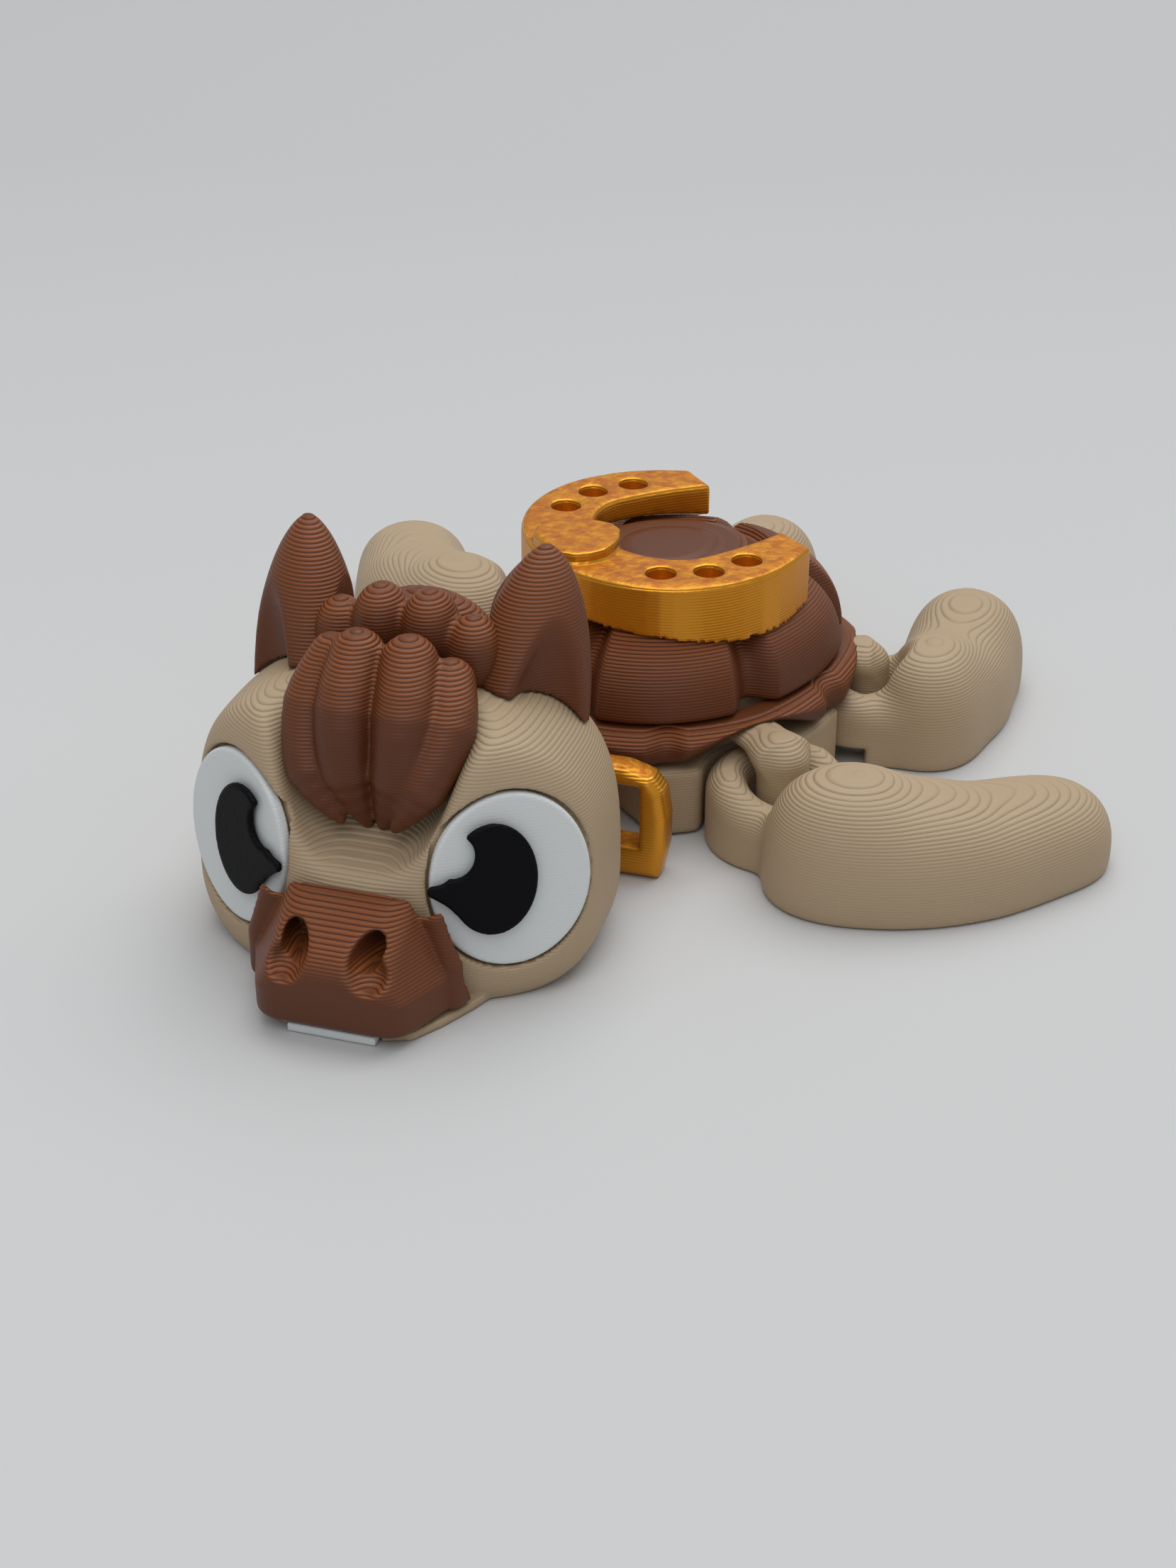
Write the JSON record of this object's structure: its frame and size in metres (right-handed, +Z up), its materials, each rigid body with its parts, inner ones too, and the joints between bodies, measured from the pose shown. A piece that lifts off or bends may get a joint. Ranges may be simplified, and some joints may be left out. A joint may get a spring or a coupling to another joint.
{
  "type": "articulated fidget toy",
  "caption": "Print-in-place fidget toy: a turtle with a horse's head, domed shell, horseshoe on top, swinging flippers on loop joints and a loose ring round the neck.",
  "frame": {"origin": "middle of the body's flat underside, on the surface the toy stands on", "axes": "+Z up, -Y towards the nose when the head is straight, +X to the toy's own left"},
  "size_m": [0.0649, 0.0657, 0.024],
  "materials": {
    "tan_plastic": "matte tan filament print with 0.2 mm layer lines",
    "brown_plastic": "matte brown filament print with 0.2 mm layer lines",
    "gold_plastic": "silky gold filament print with 0.2 mm layer lines",
    "white_plastic": "matte white filament print",
    "black_plastic": "slightly glossy black filament print"
  },
  "bodies": {
    "body": {"body_base": "tan_plastic", "body_loop_front_left": "tan_plastic", "body_loop_front_right": "tan_plastic", "body_loop_rear_left": "tan_plastic", "body_loop_rear_right": "tan_plastic", "body_loop_neck": "tan_plastic", "shell_rim": "brown_plastic", "shell_dome": "brown_plastic", "horseshoe": "gold_plastic"},
    "head": {"head_skull": "tan_plastic", "eye_white_left": "white_plastic", "eye_white_right": "white_plastic", "pupil_left": "black_plastic", "pupil_right": "black_plastic", "muzzle": "brown_plastic", "front_teeth": "white_plastic", "forelock": "brown_plastic", "crown_mane": "brown_plastic", "ear_left": "brown_plastic", "ear_right": "brown_plastic", "head_neck_ring": "tan_plastic"},
    "harness": {"neck_ring": "gold_plastic"},
    "flipper_front_left": {"flipper_front_left": "tan_plastic"},
    "flipper_front_right": {"flipper_front_right": "tan_plastic"},
    "flipper_rear_left": {"flipper_rear_left": "tan_plastic"},
    "flipper_rear_right": {"flipper_rear_right": "tan_plastic"}
  },
  "joints": [
    {"name": "neck_turn", "type": "hinge", "parent": "body", "child": "head", "pos_m": [0, -0.01345, 0], "axis": [0, 0, 1], "range_deg": [-70, 4]},
    {"name": "harness_slide", "type": "slide", "parent": "head", "child": "harness", "axis": [0.7266, 0.6871, 0], "range_m": [-0.003, 0.001]},
    {"name": "front_left_swing", "type": "hinge", "parent": "body", "child": "flipper_front_left", "pos_m": [0.0146, -0.001, 0], "axis": [0, 0, 1], "range_deg": [-30, 20]},
    {"name": "front_right_swing", "type": "hinge", "parent": "body", "child": "flipper_front_right", "pos_m": [-0.0146, -0.001, 0], "axis": [0, 0, 1], "range_deg": [-60, 0]},
    {"name": "rear_left_swing", "type": "hinge", "parent": "body", "child": "flipper_rear_left", "pos_m": [0.0056, 0.0116, 0], "axis": [0, 0, 1], "range_deg": [-30, 4]},
    {"name": "rear_right_swing", "type": "hinge", "parent": "body", "child": "flipper_rear_right", "pos_m": [-0.0056, 0.0116, 0], "axis": [0, 0, 1], "range_deg": [-25, 0]}
  ]
}
